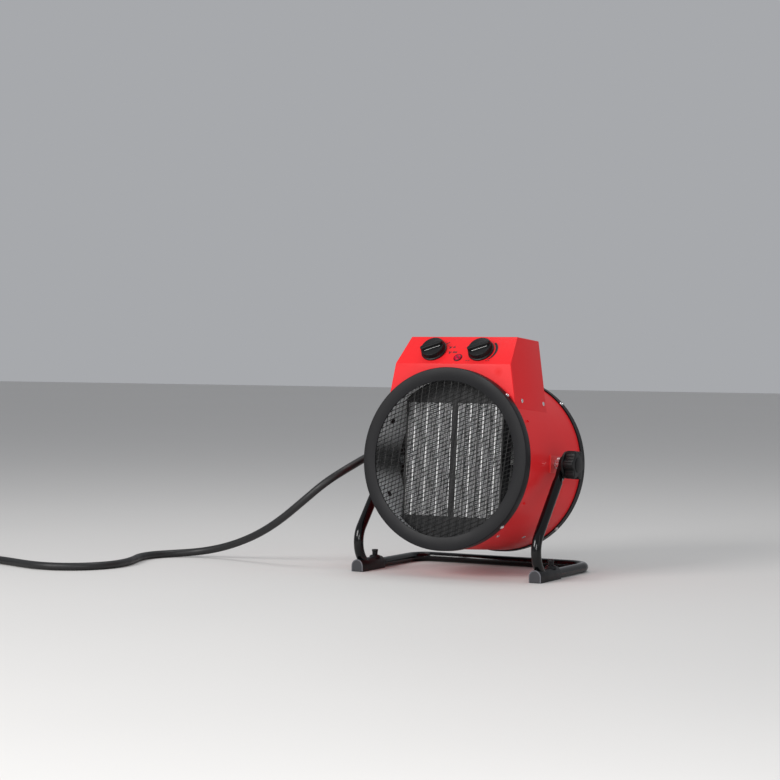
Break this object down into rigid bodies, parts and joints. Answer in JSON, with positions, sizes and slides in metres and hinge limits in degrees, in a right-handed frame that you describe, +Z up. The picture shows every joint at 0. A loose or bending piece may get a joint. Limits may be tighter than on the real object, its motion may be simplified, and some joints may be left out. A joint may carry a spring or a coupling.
{
  "type": "ceramic space heater",
  "caption": "Round red drum fan heater with ceramic elements behind a black ring and mesh, a control box on top and a tilting tubular stand, with its lead and plug.",
  "frame": {"origin": "on the bench, under the middle of the heater and its stand, without the lead", "axes": "+Z up, the air blows towards -Y, +X is the right-hand side seen from the front"},
  "size_m": [1.2333, 0.59, 0.3586],
  "materials": {
    "red_paint": "semi-gloss powder coat",
    "ring_black": "satin textured powder coat",
    "mesh_black": "satin black",
    "stand_black": "gloss black powder coat",
    "foot_plastic": "fine matt moulding",
    "knob_plastic": "satin moulding",
    "zinc_steel": "bright zinc plate",
    "bright_liner": "bright rolled sheet",
    "element_aluminium": "mill finish",
    "baffle_black": "heat-proof matt black",
    "fan_aluminium": "mill finish",
    "motor_steel": "satin black",
    "housing_plastic": "pale moulding",
    "copper": "drawn copper",
    "lamp_red": "clear red lens",
    "cord_rubber": "matt rubber",
    "plug_red": "gloss moulding",
    "plug_grey": "satin moulding",
    "pin_brass": "nickel-plated"
  },
  "bodies": {
    "stand": {"left_leg": "stand_black", "right_leg": "stand_black", "base_tube": "stand_black", "left_foot": "foot_plastic", "right_foot": "foot_plastic", "left_foot_bolt": "foot_plastic", "right_foot_bolt": "foot_plastic", "power_cord_lower": "cord_rubber", "cord_coil": "cord_rubber", "power_cord_tail": "cord_rubber", "plug_nut": "plug_grey", "plug_housing": "plug_red", "plug_pins": "pin_brass"},
    "heater": {"back_cover": "red_paint", "back_cover_screws": "zinc_steel", "cable_gland": "knob_plastic", "control_box": "red_paint", "drum_rivets": "zinc_steel", "drum_shell": "red_paint", "element_frame": "baffle_black", "fan_motor": "motor_steel", "friction_washers": "zinc_steel", "front_grille": "mesh_black", "front_ring": "ring_black", "front_ring_screws": "zinc_steel", "heat_liner": "bright_liner", "hood_rivets": "zinc_steel", "lamp_bezel": "knob_plastic", "lamp_lens": "lamp_red", "left_element_fins": "element_aluminium", "left_element_plates": "element_aluminium", "liner_screws": "mesh_black", "lower_baffle": "baffle_black", "motor_bracket": "zinc_steel", "motor_screws": "zinc_steel", "pivot_nuts": "zinc_steel", "pivot_pads": "red_paint", "pivot_studs": "zinc_steel", "power_cord_upper": "cord_rubber", "rear_grille": "mesh_black", "rear_ring": "ring_black", "rear_ring_screws": "zinc_steel", "right_element_fins": "element_aluminium", "right_element_plates": "element_aluminium", "selector_switch": "housing_plastic", "strain_relief": "cord_rubber", "terminal_block": "housing_plastic", "thermal_cutout": "housing_plastic", "thermostat_body": "housing_plastic", "thermostat_capillary": "copper", "upper_baffle": "baffle_black"},
    "selector": {"selector_knob": "knob_plastic", "selector_spindle": "zinc_steel"},
    "thermostat": {"thermostat_knob": "knob_plastic", "thermostat_spindle": "zinc_steel"},
    "fan": {"fan_wheel": "fan_aluminium", "fan_shaft": "zinc_steel"},
    "left_clamp": {"left_clamp_knob": "knob_plastic"},
    "right_clamp": {"right_clamp_knob": "knob_plastic"}
  },
  "joints": [
    {"name": "tilt", "type": "hinge", "parent": "stand", "child": "heater", "pos_m": [0, -0.00149, 0.1675], "axis": [-1, 0, 0], "range_deg": [-17, 12]},
    {"name": "left_clamp_turn", "type": "hinge", "parent": "heater", "child": "left_clamp", "pos_m": [-0.165, -0.00149, 0.1675], "axis": [-1, 0, 0], "range_deg": [0, 360]},
    {"name": "right_clamp_turn", "type": "hinge", "parent": "heater", "child": "right_clamp", "pos_m": [0.165, -0.00149, 0.1675], "axis": [1, 0, 0], "range_deg": [0, 360]},
    {"name": "selector_turn", "type": "hinge", "parent": "heater", "child": "selector", "pos_m": [-0.04, -0.05649, 0.33721], "axis": [0, -0.7306, 0.6828], "range_deg": [-135, 0]},
    {"name": "thermostat_turn", "type": "hinge", "parent": "heater", "child": "thermostat", "pos_m": [0.04, -0.05649, 0.33721], "axis": [0, -0.7306, 0.6828], "range_deg": [-73, 203]},
    {"name": "fan_spin", "type": "hinge", "parent": "heater", "child": "fan", "pos_m": [0, 0.01991, 0.16548], "axis": [0, -0.9956, 0.0941], "continuous": true}
  ]
}
